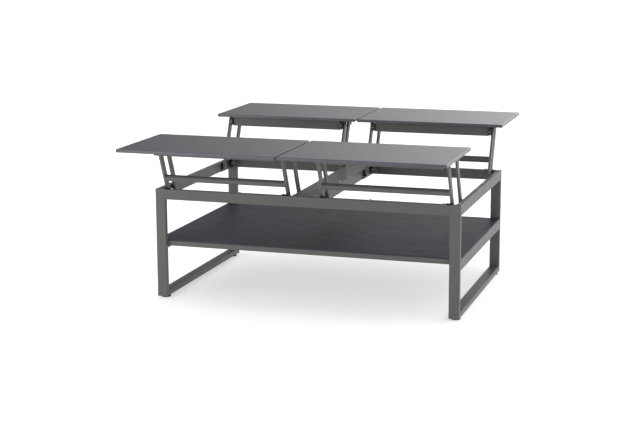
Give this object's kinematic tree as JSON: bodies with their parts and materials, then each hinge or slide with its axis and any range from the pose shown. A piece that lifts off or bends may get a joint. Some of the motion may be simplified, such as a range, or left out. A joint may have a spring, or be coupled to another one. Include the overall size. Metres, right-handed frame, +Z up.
{
  "type": "lift top coffee table",
  "caption": "Coffee table with a grey tube frame, an open shelf, and separate tops that swing up and outward on parallel arms.",
  "frame": {"origin": "on the floor under the middle of the table", "axes": "+Z up, +X along the length of the frame, -Y towards the front"},
  "size_m": [1.23, 1.4212, 0.6342],
  "materials": {
    "frame_paint": "satin",
    "top_laminate": "matte",
    "shelf_laminate": "matte",
    "black_rubber": "matte",
    "grey_bumper": "matte",
    "black_plastic": "matte",
    "black_paint": "satin",
    "zinc_steel": "satin"
  },
  "bodies": {
    "frame": {"front_rail": "frame_paint", "rear_rail": "frame_paint", "left_rail": "frame_paint", "right_rail": "frame_paint", "centre_beam": "frame_paint", "front_left_leg": "frame_paint", "front_right_leg": "frame_paint", "rear_left_leg": "frame_paint", "rear_right_leg": "frame_paint", "left_floor_rail": "frame_paint", "right_floor_rail": "frame_paint", "left_shelf_rail": "frame_paint", "right_shelf_rail": "frame_paint", "front_shelf_rail": "frame_paint", "rear_shelf_rail": "frame_paint", "shelf_panel": "shelf_laminate", "foot_glides": "black_rubber", "rest_bumpers": "grey_bumper", "arm_stops": "black_rubber", "arm_brackets": "black_paint", "bracket_screws": "zinc_steel", "lower_pins": "zinc_steel"},
    "front_left_main_link": {"front_left_main_arms": "frame_paint", "front_left_cross_tube": "frame_paint"},
    "front_left_guide_link": {"front_left_guide_arms": "frame_paint"},
    "front_left_top": {"front_left_slab": "top_laminate", "front_left_inner_rail": "frame_paint", "front_left_outer_rail": "frame_paint", "front_left_end_rails": "frame_paint", "front_left_pivot_blocks": "black_plastic", "front_left_top_pins": "zinc_steel"},
    "front_right_main_link": {"front_right_main_arms": "frame_paint", "front_right_cross_tube": "frame_paint"},
    "front_right_guide_link": {"front_right_guide_arms": "frame_paint"},
    "front_right_top": {"front_right_slab": "top_laminate", "front_right_inner_rail": "frame_paint", "front_right_outer_rail": "frame_paint", "front_right_end_rails": "frame_paint", "front_right_pivot_blocks": "black_plastic", "front_right_top_pins": "zinc_steel"},
    "rear_left_main_link": {"rear_left_main_arms": "frame_paint", "rear_left_cross_tube": "frame_paint"},
    "rear_left_guide_link": {"rear_left_guide_arms": "frame_paint"},
    "rear_left_top": {"rear_left_slab": "top_laminate", "rear_left_inner_rail": "frame_paint", "rear_left_outer_rail": "frame_paint", "rear_left_end_rails": "frame_paint", "rear_left_pivot_blocks": "black_plastic", "rear_left_top_pins": "zinc_steel"},
    "rear_right_main_link": {"rear_right_main_arms": "frame_paint", "rear_right_cross_tube": "frame_paint"},
    "rear_right_guide_link": {"rear_right_guide_arms": "frame_paint"},
    "rear_right_top": {"rear_right_slab": "top_laminate", "rear_right_inner_rail": "frame_paint", "rear_right_outer_rail": "frame_paint", "rear_right_end_rails": "frame_paint", "rear_right_pivot_blocks": "black_plastic", "rear_right_top_pins": "zinc_steel"}
  },
  "joints": [
    {"name": "front_left_lift", "type": "hinge", "parent": "frame", "child": "front_left_main_link", "pos_m": [-0.315, -0.35763, 0.414], "axis": [-1, 0, 0], "range_deg": [0, 110.99]},
    {"name": "front_left_guide", "type": "hinge", "parent": "frame", "child": "front_left_guide_link", "pos_m": [-0.315, -0.26463, 0.414], "axis": [-1, 0, 0], "range_deg": [0, 110.99]},
    {"name": "front_left_level", "type": "hinge", "parent": "front_left_main_link", "child": "front_left_top", "pos_m": [-0.315, -0.44464, 0.60943], "axis": [-1, 0, 0], "range_deg": [-110.99, 0]},
    {"name": "front_right_lift", "type": "hinge", "parent": "frame", "child": "front_right_main_link", "pos_m": [0.315, -0.35763, 0.414], "axis": [-1, 0, 0], "range_deg": [0, 110.99]},
    {"name": "front_right_guide", "type": "hinge", "parent": "frame", "child": "front_right_guide_link", "pos_m": [0.315, -0.26463, 0.414], "axis": [-1, 0, 0], "range_deg": [0, 110.99]},
    {"name": "front_right_level", "type": "hinge", "parent": "front_right_main_link", "child": "front_right_top", "pos_m": [0.315, -0.44464, 0.60943], "axis": [-1, 0, 0], "range_deg": [-110.99, 0]},
    {"name": "rear_left_lift", "type": "hinge", "parent": "frame", "child": "rear_left_main_link", "pos_m": [-0.315, 0.35763, 0.414], "axis": [1, 0, 0], "range_deg": [0, 110.99]},
    {"name": "rear_left_guide", "type": "hinge", "parent": "frame", "child": "rear_left_guide_link", "pos_m": [-0.315, 0.26463, 0.414], "axis": [1, 0, 0], "range_deg": [0, 110.99]},
    {"name": "rear_left_level", "type": "hinge", "parent": "rear_left_main_link", "child": "rear_left_top", "pos_m": [-0.315, 0.44464, 0.60943], "axis": [1, 0, 0], "range_deg": [-110.99, 0]},
    {"name": "rear_right_lift", "type": "hinge", "parent": "frame", "child": "rear_right_main_link", "pos_m": [0.315, 0.35763, 0.414], "axis": [1, 0, 0], "range_deg": [0, 110.99]},
    {"name": "rear_right_guide", "type": "hinge", "parent": "frame", "child": "rear_right_guide_link", "pos_m": [0.315, 0.26463, 0.414], "axis": [1, 0, 0], "range_deg": [0, 110.99]},
    {"name": "rear_right_level", "type": "hinge", "parent": "rear_right_main_link", "child": "rear_right_top", "pos_m": [0.315, 0.44464, 0.60943], "axis": [1, 0, 0], "range_deg": [-110.99, 0]}
  ],
  "couplings": [
    {"joint": "front_left_guide", "follows": "front_left_lift", "ratio": 1},
    {"joint": "front_left_level", "follows": "front_left_lift", "ratio": -1},
    {"joint": "front_right_guide", "follows": "front_right_lift", "ratio": 1},
    {"joint": "front_right_level", "follows": "front_right_lift", "ratio": -1},
    {"joint": "rear_left_guide", "follows": "rear_left_lift", "ratio": 1},
    {"joint": "rear_left_level", "follows": "rear_left_lift", "ratio": -1},
    {"joint": "rear_right_guide", "follows": "rear_right_lift", "ratio": 1},
    {"joint": "rear_right_level", "follows": "rear_right_lift", "ratio": -1}
  ]
}
